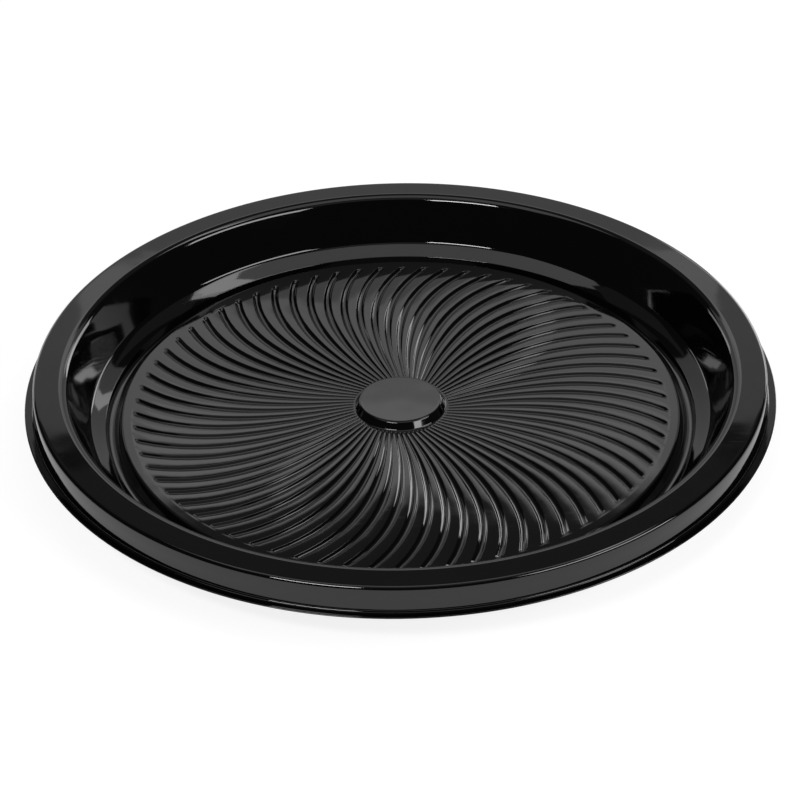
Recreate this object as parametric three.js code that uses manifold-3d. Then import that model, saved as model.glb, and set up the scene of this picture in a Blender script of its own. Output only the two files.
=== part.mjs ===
// Round serving tray: a single sheet of black plastic, formed over a mould and trimmed round its lip.
// The sheet keeps one thickness, so every step that stands up inside is hollow underneath.
// Millimetres, +Z up. The origin is on the tray's axis, at the level that the tray stands on.

import * as THREE from 'three';
import { mergeVertices } from 'three/addons/utils/BufferGeometryUtils.js';
import Module from 'manifold-3d';

// Overall sizes.
const trayDiameter = 457.2;
const overallHeight = 40;
const sheetThickness = 0.9;

// The lip, the skirt and the flat rim, from the outside inwards.
const lipWidth = 5;
const skirtHeight = 15.7;
const skirtDraft = 1.2;
const rimWidth = 19.4;
const rimOuterFillet = 2.4;
const rimInnerFillet = 6;

// The wall, the sloping ledge below it and the channel round the floor, which the tray stands on.
const wallRun = 12.8;
const ledgeRun = 9.2;
const ledgeRise = 5.4;
const riserRun = 1.6;
const riserHeight = 4.8;
const channelWidth = 4;
const channelFillet = 1.4;

// The raised floor inside the channel, and the round boss at its centre.
const stepRun = 3.7;
const floorRise = 7;
const floorEdgeFillet = 1.6;
const bossRadius = 25.2;
const bossHeight = 4.5;
const bossRun = 2.6;
const bossFillet = 1.2;

// The swirl of flutes: grooves pressed down into the floor.
const fluteCount = 70;
const fluteWidth = 5.8;
const fluteDepth = 1.4;
const fluteShareOfPitch = 0.66;
const fluteRamp = 2.6;
const fluteMargin = 7.1;
const fluteBossGap = 1;
const swirlTurnRadius = 68.6;
const swirlInner = THREE.MathUtils.degToRad(6);
const swirlInnerPower = 2.4;
const swirlOuter = THREE.MathUtils.degToRad(11.7);

// How finely the round surfaces are divided.
const roundSteps = 56;
const bossSteps = 20;
const fluteSpans = 4;
const fluteSpanGrowth = 1.4;
const largeFillet = 2.2;

// Radii and levels that follow from the sizes above.
const lipRadius = trayDiameter / 2;
const skirtFootRadius = lipRadius - lipWidth;
const rimOuterRadius = skirtFootRadius - skirtDraft;
const rimInnerRadius = rimOuterRadius - rimWidth;
const ledgeOuterRadius = rimInnerRadius - wallRun;
const ledgeInnerRadius = ledgeOuterRadius - ledgeRun;
const channelOuterRadius = ledgeInnerRadius - riserRun;
const channelInnerRadius = channelOuterRadius - channelWidth;
const floorRadius = channelInnerRadius - stepRun;
const bossFootRadius = bossRadius + bossRun;
const fluteOuterRadius = floorRadius - fluteMargin;
const fluteInnerRadius = bossFootRadius + fluteBossGap;

const lipLevel = overallHeight - skirtHeight;
const channelLevel = sheetThickness;
const ledgeInnerLevel = channelLevel + riserHeight;
const ledgeOuterLevel = ledgeInnerLevel + ledgeRise;
const floorLevel = channelLevel + floorRise;
const bossLevel = floorLevel + bossHeight;

const wasm = await Module();
wasm.setup();

// A line through the corners [radius, level, fillet], with each fillet as a short curve.
function roundedLine(corners) {
  const points = corners.map(([radius, level]) => new THREE.Vector2(radius, level));
  const line = [points[0]];
  for (let i = 1; i < points.length - 1; i += 1) {
    const corner = points[i];
    const fillet = corners[i][2];
    if (fillet === 0) {
      line.push(corner);
      continue;
    }
    const before = points[i - 1].clone().sub(corner);
    const after = points[i + 1].clone().sub(corner);
    const room = Math.min(before.length(), after.length()) / 2;
    const halfAngle = Math.acos(before.dot(after) / (before.length() * after.length())) / 2;
    const setback = Math.min(fillet / Math.tan(halfAngle), room);
    const start = before.setLength(setback).add(corner);
    const end = after.setLength(setback).add(corner);
    const bend = new THREE.QuadraticBezierCurve(start, corner, end);
    line.push(...bend.getPoints(fillet > largeFillet ? 2 : 1));
  }
  line.push(points.at(-1));
  return line;
}

// The same line moved down through the sheet, square to the surface, when it runs inwards.
function underside(line) {
  return line.map((point, i) => {
    const into = point.clone().sub(line[Math.max(i - 1, 0)]).normalize();
    const out = line[Math.min(i + 1, line.length - 1)].clone().sub(point).normalize();
    const first = into.length() > 0 ? into : out;
    const second = out.length() > 0 ? out : into;
    const normalFirst = new THREE.Vector2(-first.y, first.x);
    const normalSecond = new THREE.Vector2(-second.y, second.x);
    const mitre = normalFirst.clone().add(normalSecond).normalize();
    return point.clone().addScaledVector(mitre, sheetThickness / mitre.dot(normalFirst));
  });
}

function solidOf(geometry) {
  geometry.deleteAttribute('normal');
  geometry.deleteAttribute('uv');
  const merged = mergeVertices(geometry);
  const index = merged.index.array;
  const triangles = [];
  for (let i = 0; i < index.length; i += 3) {
    const [a, b, c] = [index[i], index[i + 1], index[i + 2]];
    if (a !== b && b !== c && c !== a) {
      triangles.push(a, b, c);
    }
  }
  const vertProperties = Float32Array.from(merged.attributes.position.array);
  const triVerts = Uint32Array.from(triangles);
  return new wasm.Manifold(new wasm.Mesh({ numProp: 3, vertProperties, triVerts }));
}

function geometryOf(solid) {
  const mesh = solid.getMesh();
  const geometry = new THREE.BufferGeometry();
  geometry.setAttribute('position', new THREE.BufferAttribute(mesh.vertProperties, 3));
  geometry.setIndex(new THREE.BufferAttribute(mesh.triVerts, 1));
  geometry.computeVertexNormals();
  return geometry;
}

// A closed section [radius, level] turned round the tray's axis.
function turned(section, steps) {
  return new THREE.LatheGeometry(section, steps).rotateX(Math.PI / 2);
}

// The lip, skirt, rim, wall, ledge, channel and the plain border of the floor.
function outerPan() {
  const top = roundedLine([
    [lipRadius, lipLevel, 0],
    [skirtFootRadius, lipLevel, 0],
    [rimOuterRadius, overallHeight, rimOuterFillet],
    [rimInnerRadius, overallHeight, rimInnerFillet],
    [ledgeOuterRadius, ledgeOuterLevel, 0],
    [ledgeInnerRadius, ledgeInnerLevel, 0],
    [channelOuterRadius, channelLevel, channelFillet],
    [channelInnerRadius, channelLevel, channelFillet],
    [floorRadius, floorLevel, floorEdgeFillet],
    [fluteOuterRadius + fluteMargin / 4, floorLevel, 0],
  ]);
  const section = [...top, ...underside(top).reverse(), top[0].clone()];
  return solidOf(turned(section, roundSteps));
}

// The boss at the centre, with the ring of floor that its foot runs into.
function centreBoss() {
  const top = roundedLine([
    [fluteInnerRadius - fluteBossGap / 4, floorLevel, 0],
    [bossFootRadius, floorLevel, bossFillet],
    [bossRadius, bossLevel, bossFillet],
    [0, bossLevel, 0],
  ]);
  const section = [...underside(top).reverse(), ...top];
  return solidOf(turned(section, bossSteps));
}

// How far a flute has turned round the axis by this radius, seen from its furthest forward point.
function swirlAngle(radius) {
  if (radius < swirlTurnRadius) {
    const inwards = (swirlTurnRadius - radius) / (swirlTurnRadius - fluteInnerRadius);
    return -swirlInner * inwards ** swirlInnerPower;
  }
  const outwards = (radius - swirlTurnRadius) / (fluteOuterRadius - swirlTurnRadius);
  return -swirlOuter * outwards ** 2;
}

function fluteWidthAt(radius) {
  const pitch = (2 * Math.PI * radius) / fluteCount;
  return Math.min(fluteWidth, fluteShareOfPitch * pitch);
}

// The fluted ring of the floor. Three columns of points make each flute: its two edges and its bottom.
function flutedRing() {
  const columnsPerFlute = 3;
  const bottomColumn = 1;
  const rows = [
    { radius: fluteInnerRadius - fluteBossGap / 2, sunk: 0 },
    { radius: fluteInnerRadius, sunk: 0 },
  ];
  const bottomStart = fluteInnerRadius + fluteRamp;
  const bottomEnd = fluteOuterRadius - fluteRamp;
  for (let i = 0; i <= fluteSpans; i += 1) {
    const share = (i / fluteSpans) ** fluteSpanGrowth;
    rows.push({ radius: THREE.MathUtils.lerp(bottomStart, bottomEnd, share), sunk: 1 });
  }
  rows.push({ radius: fluteOuterRadius, sunk: 0 });
  rows.push({ radius: fluteOuterRadius + fluteMargin / 2, sunk: 0 });

  const under = rows.map((row) => ({ ...row, level: floorLevel - sheetThickness }));
  const upper = rows.map((row) => ({ ...row, level: floorLevel })).reverse();
  const loop = [...upper, ...under, upper[0]];
  const section = loop.map((row) => new THREE.Vector2(row.radius, row.level));
  const columns = fluteCount * columnsPerFlute;
  const geometry = new THREE.LatheGeometry(section, columns);
  const position = geometry.attributes.position;
  for (let i = 0; i < position.count; i += 1) {
    const column = Math.floor(i / loop.length) % columns;
    const { radius, sunk, level } = loop[i % loop.length];
    const side = (column % columnsPerFlute) - bottomColumn;
    const fluteAngle = (Math.floor(column / columnsPerFlute) * 2 * Math.PI) / fluteCount;
    const angle = fluteAngle + swirlAngle(radius) + (side * fluteWidthAt(radius)) / 2 / radius;
    const depth = side === 0 ? sunk * fluteDepth : 0;
    position.setXYZ(i, radius * Math.sin(angle), level - depth, radius * Math.cos(angle));
  }
  return solidOf(geometry.rotateX(Math.PI / 2));
}

const blackPlastic = new THREE.MeshStandardMaterial({ color: 0x0c0c0d, roughness: 0.12, metalness: 0 });

const tray = new THREE.Mesh(geometryOf(outerPan().add(flutedRing()).add(centreBoss())), blackPlastic);
tray.name = 'tray';

const servingTray = new THREE.Group();
servingTray.add(tray);

export default servingTray;
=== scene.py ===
"""A round serving tray, formed from one sheet of gloss black plastic, in a plain pale studio.

The tray stays where the frame puts it: +Z up, its axis on the Z axis, standing on the XY plane.
Lengths are in metres.
"""

import math

import bpy
from mathutils import Matrix, Vector


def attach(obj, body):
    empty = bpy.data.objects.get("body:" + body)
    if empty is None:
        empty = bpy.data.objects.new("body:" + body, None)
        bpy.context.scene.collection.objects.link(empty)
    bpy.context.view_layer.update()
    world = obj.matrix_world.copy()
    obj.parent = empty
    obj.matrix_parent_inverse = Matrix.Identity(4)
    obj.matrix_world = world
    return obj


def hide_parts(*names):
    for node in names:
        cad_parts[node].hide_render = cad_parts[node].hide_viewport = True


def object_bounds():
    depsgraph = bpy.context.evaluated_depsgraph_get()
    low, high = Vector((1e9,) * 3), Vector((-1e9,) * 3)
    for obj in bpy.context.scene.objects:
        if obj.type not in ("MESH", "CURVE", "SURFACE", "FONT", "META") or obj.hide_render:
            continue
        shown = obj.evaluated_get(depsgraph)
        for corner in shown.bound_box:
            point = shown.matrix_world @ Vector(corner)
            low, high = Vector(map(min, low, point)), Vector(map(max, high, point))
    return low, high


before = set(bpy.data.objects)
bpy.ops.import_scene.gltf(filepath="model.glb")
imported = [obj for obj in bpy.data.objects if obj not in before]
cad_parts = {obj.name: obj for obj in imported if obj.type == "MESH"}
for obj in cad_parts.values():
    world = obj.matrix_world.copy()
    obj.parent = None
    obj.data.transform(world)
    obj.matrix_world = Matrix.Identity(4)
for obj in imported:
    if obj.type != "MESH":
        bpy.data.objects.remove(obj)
CAD_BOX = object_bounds()

MM = 0.001

# Sizes of the tray. Its diameter and its height come from the frame.
LIP_RADIUS = (CAD_BOX[1].x - CAD_BOX[0].x) / 2
TOP_LEVEL = CAD_BOX[1].z
SHEET = 0.9 * MM

LIP_WIDTH = 5 * MM
SKIRT_HEIGHT = 15.7 * MM
SKIRT_DRAFT = 1.2 * MM
SKIRT_FOOT_FILLET = 1.2 * MM
RIM_WIDTH = 19.4 * MM
RIM_OUTER_FILLET = 2.4 * MM
RIM_INNER_FILLET = 6 * MM
WALL_RUN = 12.8 * MM
WALL_FOOT_FILLET = 5 * MM
LEDGE_RUN = 9.2 * MM
LEDGE_RISE = 5.4 * MM
LEDGE_FILLET = 0.8 * MM
RISER_RUN = 1.6 * MM
RISER_HEIGHT = 4.8 * MM
CHANNEL_WIDTH = 4 * MM
CHANNEL_FILLET = 1.4 * MM
STEP_RUN = 3.7 * MM
FLOOR_RISE = 7 * MM
FLOOR_EDGE_FILLET = 1.6 * MM
BOSS_RADIUS = 25.2 * MM
BOSS_HEIGHT = 4.5 * MM
BOSS_RUN = 2.6 * MM
BOSS_FILLET = 1.2 * MM

# The swirl of flutes, grooves pressed down into the floor. Near the boss they narrow with the pitch.
# The roundings are shares of the way from a flute's edge down to its bottom.
FLUTE_COUNT = 70
FLUTE_WIDTH = 5.8 * MM
FLUTE_DEPTH = 1.4 * MM
FLUTE_SHARE_OF_PITCH = 0.66
FLUTE_INNER_RAMP = 1.4 * MM
FLUTE_MARGIN = 7.1 * MM
FLUTE_BOSS_GAP = 1 * MM
FLUTE_PHASE = math.pi / FLUTE_COUNT
FLUTE_EDGE_ROUNDING = 0.2
FLUTE_BOTTOM_ROUNDING = 0.6
SWIRL_TURN_RADIUS = 68.6 * MM
SWIRL_INNER = math.radians(6)
SWIRL_INNER_POWER = 2.4
SWIRL_OUTER = math.radians(11.7)

# Radii and levels that follow from them.
SKIRT_FOOT_RADIUS = LIP_RADIUS - LIP_WIDTH
RIM_OUTER_RADIUS = SKIRT_FOOT_RADIUS - SKIRT_DRAFT
RIM_INNER_RADIUS = RIM_OUTER_RADIUS - RIM_WIDTH
LEDGE_OUTER_RADIUS = RIM_INNER_RADIUS - WALL_RUN
LEDGE_INNER_RADIUS = LEDGE_OUTER_RADIUS - LEDGE_RUN
CHANNEL_OUTER_RADIUS = LEDGE_INNER_RADIUS - RISER_RUN
CHANNEL_INNER_RADIUS = CHANNEL_OUTER_RADIUS - CHANNEL_WIDTH
FLOOR_RADIUS = CHANNEL_INNER_RADIUS - STEP_RUN
BOSS_FOOT_RADIUS = BOSS_RADIUS + BOSS_RUN
FLUTE_OUTER_RADIUS = FLOOR_RADIUS - FLUTE_MARGIN
FLUTE_INNER_RADIUS = BOSS_FOOT_RADIUS + FLUTE_BOSS_GAP
LIP_LEVEL = TOP_LEVEL - SKIRT_HEIGHT
CHANNEL_LEVEL = SHEET
LEDGE_INNER_LEVEL = CHANNEL_LEVEL + RISER_HEIGHT
LEDGE_OUTER_LEVEL = LEDGE_INNER_LEVEL + LEDGE_RISE
FLOOR_LEVEL = CHANNEL_LEVEL + FLOOR_RISE
BOSS_LEVEL = FLOOR_LEVEL + BOSS_HEIGHT


# ---------------------------------------------------------------------------------------------
# Node trees: numbers are written as expressions, and every other node comes from one method.


class Number:
    """A number socket of a node tree. An expression on it adds the Math nodes that work it out."""

    def __init__(self, nodes, socket):
        self.nodes = nodes
        self.socket = socket

    def math(self, operation, *values):
        return self.nodes.number("ShaderNodeMath", {"operation": operation}, *values)

    def __add__(self, other):
        return self.math("ADD", self, other)

    def __radd__(self, other):
        return self.math("ADD", other, self)

    def __sub__(self, other):
        return self.math("SUBTRACT", self, other)

    def __rsub__(self, other):
        return self.math("SUBTRACT", other, self)

    def __mul__(self, other):
        return self.math("MULTIPLY", self, other)

    def __rmul__(self, other):
        return self.math("MULTIPLY", other, self)

    def __truediv__(self, other):
        return self.math("DIVIDE", self, other)

    def __rtruediv__(self, other):
        return self.math("DIVIDE", other, self)

    def __pow__(self, other):
        return self.math("POWER", self, other)

    def __abs__(self):
        return self.math("ABSOLUTE", self)

    def at_least(self, other):
        return self.math("MAXIMUM", self, other)

    def at_most(self, other):
        return self.math("MINIMUM", self, other)

    def above(self, other):
        return self.math("GREATER_THAN", self, other)

    def floor(self):
        return self.math("FLOOR", self)

    def rounded(self):
        return self.math("ROUND", self)

    def cosine(self):
        return self.math("COSINE", self)

    def sine(self):
        return self.math("SINE", self)

    def root(self):
        return self.math("SQRT", self)

    def sign(self):
        return self.math("SIGN", self)

    def whole_part(self):
        return self.math("TRUNC", self)

    def limited(self):
        return self.at_least(0).at_most(1)

    def eased(self):
        """A smooth step from 0 to 1."""
        t = self.limited()
        return t * t * (3 - 2 * t)


def ramp(number):
    """Rises from 0 as half the square of a number, so that its slope grows evenly."""
    positive = number.at_least(0)
    return positive * positive / 2


class Nodes:
    """Adds nodes to a tree."""

    def __init__(self, tree):
        self.tree = tree

    def add(self, kind, settings=None, inputs=None):
        """A node with its settings, and a value or a link for each input, by name or place."""
        node = self.tree.nodes.new(kind)
        for name, value in (settings or {}).items():
            setattr(node, name, value)
        for key, value in (inputs or {}).items():
            socket = node.inputs[key]
            if isinstance(value, Number):
                value = value.socket
            if isinstance(value, bpy.types.NodeSocket):
                self.tree.links.new(value, socket)
            else:
                socket.default_value = value
        return node

    def number(self, kind, settings, *values):
        """The first output of a node as a number, with its inputs given in order."""
        node = self.add(kind, settings, dict(enumerate(values)))
        return Number(self, node.outputs[0])


# ---------------------------------------------------------------------------------------------
# The section of the tray.


def straight(radius, level):
    return (radius, level, 0, 1)


def rounded_line(corners):
    """The line through corners of (radius, level, fillet, steps), with each fillet as an arc."""
    line = []
    for i, (radius, level, fillet, steps) in enumerate(corners):
        corner = Vector((radius, level))
        if fillet == 0:
            line.append(corner)
            continue
        before = (Vector(corners[i - 1][:2]) - corner).normalized()
        after = (Vector(corners[i + 1][:2]) - corner).normalized()
        half = before.angle(after) / 2
        centre = corner + (before + after).normalized() * (fillet / math.sin(half))
        start = corner + before * (fillet / math.tan(half)) - centre
        end = corner + after * (fillet / math.tan(half)) - centre
        turn = start.angle_signed(end)
        for step in range(steps + 1):
            arm = start.copy()
            arm.rotate(Matrix.Rotation(-turn * step / steps, 2))
            line.append(centre + arm)
    return line


def underside(line):
    """A line that runs outwards, moved down through the sheet, square to its surface."""
    under = []
    for i, point in enumerate(line):
        first = (line[max(i, 1)] - line[max(i, 1) - 1]).normalized()
        ahead = min(i + 1, len(line) - 1)
        second = (line[ahead] - line[ahead - 1]).normalized()
        mean = (first + second) / 2
        under.append(point + Vector((mean.y, -mean.x)) * SHEET / mean.length_squared)
    return under


def floor_rows():
    """Radii of the floor's rows of points: close together at both ends of the flutes."""
    spans = 17
    end_spans = 6
    round_end = FLUTE_WIDTH / 2
    first_rows = (-0.1 * MM, 0.3 * MM, 0.7 * MM, 1.1 * MM, 1.6 * MM)
    inner = [FLUTE_INNER_RADIUS + row for row in first_rows]
    outer = []
    for step in range(end_spans + 1):
        share = math.sin(math.pi / 2 * step / end_spans)
        outer.append(FLUTE_OUTER_RADIUS - round_end * (1 - share))
    between = [inner[-1] + (outer[0] - inner[-1]) * i / spans for i in range(1, spans)]
    return inner + between + outer


def tray_section():
    """Points (radius, level) of the section, from beneath the boss, round the lip, to its top."""
    cap_steps = 4
    fluted = [straight(radius, FLOOR_LEVEL) for radius in floor_rows()]

    # Rings that keep the flat faces flat right up to the fillets beside them.
    boss_flat = BOSS_RADIUS - 2.2 * MM
    floor_flat_inner = FLUTE_OUTER_RADIUS + 1.2 * MM
    floor_flat_outer = FLOOR_RADIUS - 1.8 * MM
    rim_flat_inner = RIM_INNER_RADIUS + 4 * MM
    rim_flat_outer = RIM_OUTER_RADIUS - 3.2 * MM
    third_of_wall = (TOP_LEVEL - LEDGE_OUTER_LEVEL) / 3

    top = rounded_line(
        [
            straight(0, BOSS_LEVEL),
            straight(BOSS_RADIUS / 2, BOSS_LEVEL),
            straight(boss_flat, BOSS_LEVEL),
            (BOSS_RADIUS, BOSS_LEVEL, BOSS_FILLET, 4),
            (BOSS_FOOT_RADIUS, FLOOR_LEVEL, BOSS_FILLET, 4),
            *fluted,
            straight(floor_flat_inner, FLOOR_LEVEL),
            straight(floor_flat_outer, FLOOR_LEVEL),
            (FLOOR_RADIUS, FLOOR_LEVEL, FLOOR_EDGE_FILLET, 4),
            (CHANNEL_INNER_RADIUS, CHANNEL_LEVEL, CHANNEL_FILLET, 4),
            straight(CHANNEL_INNER_RADIUS + CHANNEL_WIDTH / 2, CHANNEL_LEVEL),
            (CHANNEL_OUTER_RADIUS, CHANNEL_LEVEL, CHANNEL_FILLET, 4),
            (LEDGE_INNER_RADIUS, LEDGE_INNER_LEVEL, LEDGE_FILLET, 3),
            straight(LEDGE_OUTER_RADIUS - LEDGE_RUN / 2, LEDGE_OUTER_LEVEL - LEDGE_RISE / 2),
            (LEDGE_OUTER_RADIUS, LEDGE_OUTER_LEVEL, WALL_FOOT_FILLET, 5),
            straight(LEDGE_OUTER_RADIUS + WALL_RUN / 3, LEDGE_OUTER_LEVEL + third_of_wall),
            (RIM_INNER_RADIUS, TOP_LEVEL, RIM_INNER_FILLET, 8),
            straight(rim_flat_inner, TOP_LEVEL),
            straight(rim_flat_outer, TOP_LEVEL),
            (RIM_OUTER_RADIUS, TOP_LEVEL, RIM_OUTER_FILLET, 6),
            straight(SKIRT_FOOT_RADIUS - SKIRT_DRAFT / 2, (LIP_LEVEL + TOP_LEVEL) / 2),
            (SKIRT_FOOT_RADIUS, LIP_LEVEL, SKIRT_FOOT_FILLET, 4),
            straight(LIP_RADIUS - SHEET, LIP_LEVEL),
            straight(LIP_RADIUS - SHEET / 2, LIP_LEVEL),
        ]
    )
    cap_centre = Vector((LIP_RADIUS - SHEET / 2, LIP_LEVEL - SHEET / 2))
    cap = []
    for step in range(1, cap_steps):
        angle = math.pi / 2 - math.pi * step / cap_steps
        cap.append(cap_centre + Vector((math.cos(angle), math.sin(angle))) * SHEET / 2)
    return underside(top) + cap[::-1] + top[::-1]


# ---------------------------------------------------------------------------------------------
# The sheet: one flute's slice of the tray, worked out from the section and repeated round the axis.

# Columns of points on each side of a flute's middle: those of its wall, and one on the border.
WALL_COLUMNS = 8
HALF_COLUMNS = WALL_COLUMNS + 1


def sheet_tree():
    """Geometry Nodes that turn a section into the fluted tray."""
    tree = bpy.data.node_groups.new("formed_sheet", "GeometryNodeTree")
    tree.is_modifier = True
    sockets = {
        "Section": "NodeSocketGeometry",
        "Section Points": "NodeSocketInt",
        "Flute Count": "NodeSocketInt",
        "Flute Width": "NodeSocketFloat",
        "Flute Depth": "NodeSocketFloat",
        "Share of Pitch": "NodeSocketFloat",
        "Inner Ramp": "NodeSocketFloat",
        "Flute Inner Radius": "NodeSocketFloat",
        "Flute Outer Radius": "NodeSocketFloat",
        "Flute Phase": "NodeSocketFloat",
        "Edge Rounding": "NodeSocketFloat",
        "Bottom Rounding": "NodeSocketFloat",
        "Turn Radius": "NodeSocketFloat",
        "Inner Swirl": "NodeSocketFloat",
        "Inner Power": "NodeSocketFloat",
        "Outer Swirl": "NodeSocketFloat",
        "Material": "NodeSocketMaterial",
    }
    for name, kind in sockets.items():
        tree.interface.new_socket(name=name, in_out="INPUT", socket_type=kind)
    tree.interface.new_socket(name="Tray", in_out="OUTPUT", socket_type="NodeSocketGeometry")
    nodes = Nodes(tree)
    given = nodes.add("NodeGroupInput").outputs
    number = {name: Number(nodes, given[name]) for name in sockets}

    # One slice: a grid with a row for each point of the section.
    rows = number["Section Points"]
    grid = nodes.add(
        "GeometryNodeMeshGrid",
        inputs={"Vertices X": 2 * HALF_COLUMNS + 1, "Vertices Y": rows},
    )
    index = Number(nodes, nodes.add("GeometryNodeInputIndex").outputs[0])
    rounding_guard = 0.0001
    column = (index / rows + rounding_guard).floor()
    row = index - column * rows
    at_row = nodes.add(
        "GeometryNodeSampleIndex",
        {"data_type": "FLOAT_VECTOR"},
        {
            "Geometry": given["Section"],
            "Value": nodes.add("GeometryNodeInputPosition").outputs[0],
            "Index": row,
        },
    )
    section = nodes.add("ShaderNodeSeparateXYZ", inputs={0: at_row.outputs["Value"]})
    radius = Number(nodes, section.outputs["X"])
    level = Number(nodes, section.outputs["Z"])

    # Which rows cross the flutes. The first of them lies a little inside the inner radius.
    inner_margin = 0.2 * MM
    outer_margin = 0.1 * MM
    inner = number["Flute Inner Radius"]
    outer = number["Flute Outer Radius"]
    outside_boss = radius.above(inner - inner_margin)
    past_flutes = radius.above(outer + outer_margin)
    on_flutes = outside_boss * (1 - past_flutes)

    # Across the flute: columns crowd towards its edges, and draw in round its end.
    half_pitch = math.pi / number["Flute Count"]
    size = (number["Share of Pitch"] * 2 * half_pitch * radius / number["Flute Width"]).at_most(1)
    half_width = number["Flute Width"] / 2 * size
    place = column - HALF_COLUMNS
    steps_out = abs(place)
    from_middle = half_width * (steps_out / WALL_COLUMNS * (math.pi / 2)).sine()
    past_end = (radius - (outer - half_width)).at_least(0)
    drawn_in = (1 - (past_end / half_width) ** 2).at_least(0).root()
    side = place.sign()
    across = side * from_middle * drawn_in * (1 - past_flutes)
    at_border = steps_out.above(WALL_COLUMNS + 0.5)
    axis_guard = 1 * MM
    wall_angle = across / radius.at_least(axis_guard)
    flute_angle = wall_angle * (1 - at_border) + side * half_pitch * at_border

    # Away from the flutes a slice needs few columns. The others fall onto them, and are merged.
    pan_step = 6
    pan_place = ((place + pan_step / 2) / pan_step).rounded() * pan_step - pan_step / 2
    pan_angle = pan_place / HALF_COLUMNS * half_pitch
    boss_angle = (place / HALF_COLUMNS).whole_part() * half_pitch
    plain_angle = boss_angle * (1 - outside_boss) + pan_angle * outside_boss
    slice_angle = flute_angle * on_flutes + plain_angle * (1 - on_flutes)

    # The swirl.
    held = radius.at_least(inner).at_most(outer)
    turn = number["Turn Radius"]
    inwards = ((turn - held) / (turn - inner)).at_least(0)
    outwards = ((held - turn) / (outer - turn)).at_least(0)
    inner_swirl = number["Inner Swirl"] * inwards ** number["Inner Power"]
    outer_swirl = number["Outer Swirl"] * outwards**2
    angle = number["Flute Phase"] + slice_angle - (inner_swirl + outer_swirl)

    # The flute's depth. Its slope grows over the rounded edge, holds, and dies away over the round
    # bottom. A narrower flute is shallower, though by less than it is narrower.
    depth_power = 0.8
    from_spine = (across * across + past_end * past_end).root()
    down_wall = 1 - from_spine / half_width
    edge = number["Edge Rounding"]
    bottom = number["Bottom Rounding"]
    growing = (ramp(down_wall) - ramp(down_wall - edge)) / edge
    dying = (ramp(down_wall - (1 - bottom)) - ramp(down_wall - 1)) / bottom
    fall = (growing - dying) / (1 - (edge + bottom) / 2)
    start = ((radius - inner) / number["Inner Ramp"]).eased()
    depth = number["Flute Depth"] * size**depth_power * fall * start * on_flutes * (1 - at_border)

    place_at = nodes.add(
        "ShaderNodeCombineXYZ",
        inputs={"X": radius * angle.cosine(), "Y": radius * angle.sine(), "Z": level - depth},
    )
    formed = nodes.add(
        "GeometryNodeSetPosition",
        inputs={"Geometry": grid.outputs["Mesh"], "Position": place_at.outputs[0]},
    )

    # The slice repeated round the axis, and its borders closed.
    points = nodes.add(
        "GeometryNodeMeshLine", inputs={"Count": number["Flute Count"], "Offset": (0, 0, 0)}
    )
    turned = nodes.add("ShaderNodeCombineXYZ", inputs={"Z": index * 2 * half_pitch})
    slices = nodes.add(
        "GeometryNodeInstanceOnPoints",
        inputs={
            "Points": points.outputs["Mesh"],
            "Instance": formed.outputs[0],
            "Rotation": turned.outputs[0],
        },
    )
    whole = nodes.add("GeometryNodeRealizeInstances", inputs={"Geometry": slices.outputs[0]})
    merge_distance = 0.01 * MM
    closed = nodes.add(
        "GeometryNodeMergeByDistance",
        inputs={"Geometry": whole.outputs[0], "Distance": merge_distance},
    )

    smooth = nodes.add("GeometryNodeSetShadeSmooth", inputs={"Geometry": closed.outputs[0]})
    real = nodes.add("GeometryNodeRealizeInstances", inputs={"Geometry": smooth.outputs[0]})
    finished = nodes.add(
        "GeometryNodeSetMaterial",
        inputs={"Geometry": real.outputs[0], "Material": given["Material"]},
    )
    nodes.add("NodeGroupOutput", inputs={0: finished.outputs[0]})
    return tree


def set_inputs(modifier, values):
    for item in modifier.node_group.interface.items_tree:
        if item.in_out == "INPUT" and item.name in values:
            modifier[item.identifier] = values[item.name]


def make_tray(material):
    section = tray_section()
    mesh = bpy.data.meshes.new("tray_section")
    mesh.from_pydata(
        [(point.x, 0, point.y) for point in section],
        [(i, i + 1) for i in range(len(section) - 1)],
        [],
    )
    tray = bpy.data.objects.new("tray_sheet", mesh)
    bpy.context.scene.collection.objects.link(tray)
    modifier = tray.modifiers.new("formed_sheet", "NODES")
    modifier.node_group = sheet_tree()
    set_inputs(
        modifier,
        {
            "Section Points": len(section),
            "Flute Count": FLUTE_COUNT,
            "Flute Width": FLUTE_WIDTH,
            "Flute Depth": FLUTE_DEPTH,
            "Share of Pitch": FLUTE_SHARE_OF_PITCH,
            "Inner Ramp": FLUTE_INNER_RAMP,
            "Flute Inner Radius": FLUTE_INNER_RADIUS,
            "Flute Outer Radius": FLUTE_OUTER_RADIUS,
            "Flute Phase": FLUTE_PHASE,
            "Edge Rounding": FLUTE_EDGE_ROUNDING,
            "Bottom Rounding": FLUTE_BOTTOM_ROUNDING,
            "Turn Radius": SWIRL_TURN_RADIUS,
            "Inner Swirl": SWIRL_INNER,
            "Inner Power": SWIRL_INNER_POWER,
            "Outer Swirl": SWIRL_OUTER,
            "Material": material,
        },
    )
    evaluated = tray.evaluated_get(bpy.context.evaluated_depsgraph_get())
    plain = bpy.data.meshes.new_from_object(evaluated)
    tray.modifiers.remove(modifier)
    tray.data = plain
    bpy.data.meshes.remove(mesh)
    return tray


# ---------------------------------------------------------------------------------------------
# Finishes.


def noise(nodes, coordinates, scale, detail):
    """A noise value between 0 and 1, about a middle of 0.5."""
    node = nodes.add(
        "ShaderNodeTexNoise",
        inputs={"Vector": coordinates, "Scale": scale, "Detail": detail},
    )
    return Number(nodes, node.outputs[0])


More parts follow.
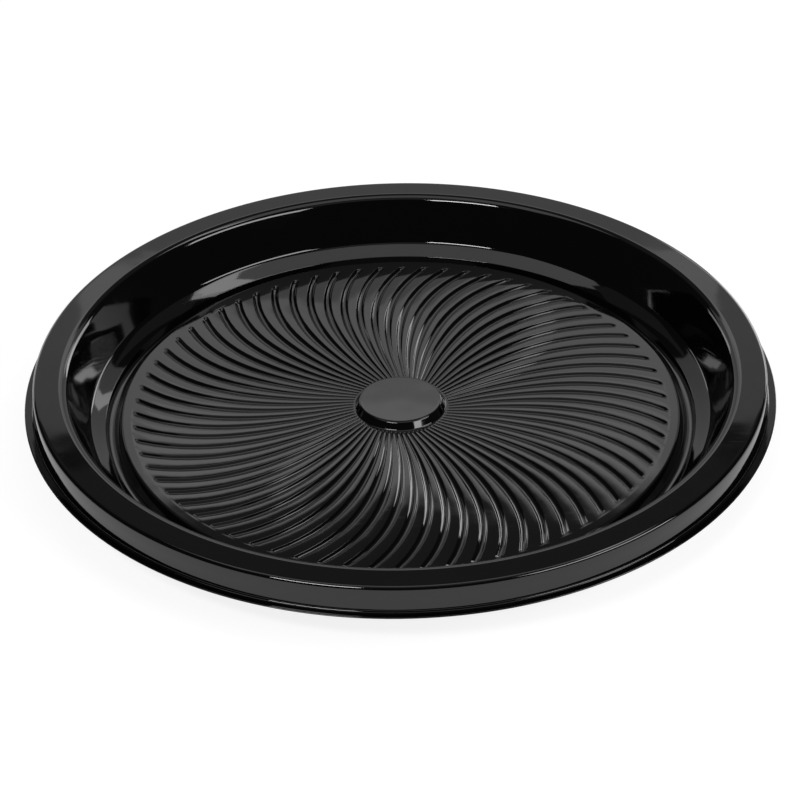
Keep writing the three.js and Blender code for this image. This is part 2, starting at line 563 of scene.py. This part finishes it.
def streaks(nodes, coordinates, turn, stretch, detail, start, sharpness):
    """A mask of streaks: noise drawn out along one direction, where it rises above a start."""
    drawn_out = nodes.add(
        "ShaderNodeMapping",
        inputs={"Vector": coordinates, "Rotation": (0, 0, turn), "Scale": stretch},
    )
    pattern = noise(nodes, drawn_out.outputs[0], scale=1, detail=detail)
    return ((pattern - start) * sharpness).eased()


def black_plastic():
    """Gloss black plastic: a wavy formed face, a faint grain, and the haze that handling leaves."""
    material = bpy.data.materials.new("gloss_black_plastic")
    material.use_nodes = True
    nodes = Nodes(material.node_tree)
    shader = material.node_tree.nodes["Principled BSDF"]
    place = nodes.add("ShaderNodeTexCoord").outputs["Object"]

    # Handling: broad hazy patches, finger smears, and hairline scuffs in two directions.
    haze = ((noise(nodes, place, scale=11, detail=4) - 0.5) * 5).eased()
    smears = streaks(nodes, place, 0.5, (30, 120, 60), detail=3, start=0.6, sharpness=7)
    scuffs = streaks(nodes, place, -0.35, (60, 2600, 60), detail=2, start=0.7, sharpness=12)
    more_scuffs = streaks(nodes, place, 1.1, (50, 2200, 50), detail=2, start=0.71, sharpness=12)
    lines = (scuffs + more_scuffs).limited()
    clean = 0.045
    roughness = clean + haze * 0.025 + smears * 0.03 + lines * 0.06

    # A dust too fine to see as grains lifts the black a little where the haze is.
    black = (0.0011, 0.0011, 0.0012, 1)
    dusty_black = (0.0022, 0.0022, 0.0023, 1)
    dust = (haze * 0.5 + lines * 0.5).limited()
    tint = nodes.add(
        "ShaderNodeMix", {"data_type": "RGBA"}, {"Factor": dust, "A": black, "B": dusty_black}
    )

    # Long waves from the forming, the grain of the sheet, and the scuffs' own depth.
    wave_depth = 0.22 * MM
    grain_depth = 0.0022 * MM
    waves = noise(nodes, place, scale=20, detail=1) + noise(nodes, place, scale=62, detail=0) * 0.2
    wavy = nodes.add(
        "ShaderNodeBump", inputs={"Height": waves, "Distance": wave_depth, "Strength": 1.0}
    )
    grain = noise(nodes, place, scale=1100, detail=1) - lines * 0.5
    grained = nodes.add(
        "ShaderNodeBump",
        inputs={
            "Height": grain,
            "Distance": grain_depth,
            "Strength": 1.0,
            "Normal": wavy.outputs[0],
        },
    )

    links = material.node_tree.links
    links.new(roughness.socket, shader.inputs["Roughness"])
    links.new(tint.outputs["Result"], shader.inputs["Base Color"])
    links.new(grained.outputs[0], shader.inputs["Normal"])
    shader.inputs["IOR"].default_value = 1.52
    return material


def floor_material():
    material = bpy.data.materials.new("pale_floor")
    material.use_nodes = True
    shader = material.node_tree.nodes["Principled BSDF"]
    shader.inputs["Base Color"].default_value = (0.25, 0.25, 0.25, 1)
    shader.inputs["Roughness"].default_value = 0.9
    shader.inputs["Specular IOR Level"].default_value = 0.0
    shader.inputs["Emission Color"].default_value = (1, 1, 1, 1)
    shader.inputs["Emission Strength"].default_value = 0.86
    return material


tray = make_tray(black_plastic())
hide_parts("tray")
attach(tray, "root")


# ---------------------------------------------------------------------------------------------
# The studio.


def make_floor():
    half = 4.0
    corners = [(-half, -half, 0), (half, -half, 0), (half, half, 0), (-half, half, 0)]
    mesh = bpy.data.meshes.new("studio_floor")
    mesh.from_pydata(corners, [], [(0, 1, 2, 3)])
    mesh.materials.append(floor_material())
    floor = bpy.data.objects.new("studio_floor", mesh)
    bpy.context.scene.collection.objects.link(floor)


def panel_light(name, place, aim, width, height, radiance):
    """A flat light that glows evenly. Its watts follow from its area and how bright it looks."""
    data = bpy.data.lights.new(name, "AREA")
    data.shape = "RECTANGLE"
    data.size = width
    data.size_y = height
    data.energy = radiance * width * height * math.pi
    light = bpy.data.objects.new(name, data)
    light.location = place
    light.rotation_mode = "QUATERNION"
    light.rotation_quaternion = (Vector(aim) - Vector(place)).to_track_quat("-Z", "Y")
    bpy.context.scene.collection.objects.link(light)


# Each panel: its name, its place, the point it faces, its width, its height, how bright it looks.
PANELS = (
    ("backdrop_low", (0, 1.15, 0.45), (0, 0, 0.45), 1.8, 0.9, 0.5),
    ("backdrop_middle", (0, 1.149, 0.785), (0, 0, 0.785), 0.72, 0.27, 0.45),
    ("backdrop_corner", (0.5, 1.147, 0.58), (0.5, 0, 0.58), 0.36, 0.12, 1.8),
    ("backdrop_top", (0, 1.148, 0.86), (0, 0, 0.86), 0.6, 0.14, 0.35),
    ("backdrop_right", (0.85, 1.12, 0.26), (0.2, 0, 0.1), 0.6, 0.44, 3.5),
    ("backdrop_left", (-0.9, 1.12, 0.22), (-0.2, 0, 0.1), 0.5, 0.34, 1.6),
    ("ceiling_back", (0, 1.3, 1.6), (0, 0.9, 0), 2.4, 1.2, 0.08),
    ("ceiling", (0, 0.2, 1.45), (0, 0.2, 0), 1.5, 0.8, 1.0),
    ("front_ceiling", (0, -0.6, 1.35), (0, -0.3, 0), 1.2, 0.5, 0.25),
    ("front_softbox", (-0.56, -1.05, 1.26), (0, 0.1, 0), 0.6, 0.22, 24),
    ("right_softbox", (1.15, -0.68, 0.9), (0, 0.1, 0), 1.2, 0.42, 7),
    ("overhead_softbox", (0.66, 0.3, 1.34), (-0.05, 0.1, 0), 0.8, 0.2, 3),
)

make_floor()
for panel in PANELS:
    panel_light(*panel)

world = bpy.data.worlds.new("studio")
world.use_nodes = True
world.node_tree.nodes["Background"].inputs["Color"].default_value = (1, 1, 1, 1)
world.node_tree.nodes["Background"].inputs["Strength"].default_value = 0.03
bpy.context.scene.world = world


def make_camera():
    """Looks down at the tray from the front, with the tray just above the middle of the view."""
    elevation = math.radians(34.11)
    roll = math.radians(-1.06)
    distance = 6.998 * LIP_RADIUS
    lowered = 0.0457 * LIP_RADIUS
    forward = Vector((0, math.cos(elevation), -math.sin(elevation)))
    level_up = Vector((0, math.sin(elevation), math.cos(elevation)))
    level_right = Vector((1, 0, 0))
    right = level_right * math.cos(roll) + level_up * math.sin(roll)
    up = level_up * math.cos(roll) - level_right * math.sin(roll)
    data = bpy.data.cameras.new("camera")
    data.sensor_width = 36
    data.lens = 117.57
    camera = bpy.data.objects.new("camera", data)
    turn = Matrix((right, up, -forward)).transposed().to_4x4()
    place = Vector((0, 0, LIP_LEVEL)) - forward * distance - up * lowered
    camera.matrix_world = Matrix.Translation(place) @ turn
    bpy.context.scene.collection.objects.link(camera)
    bpy.context.scene.camera = camera


make_camera()
bpy.context.scene.view_settings.view_transform = "Standard"
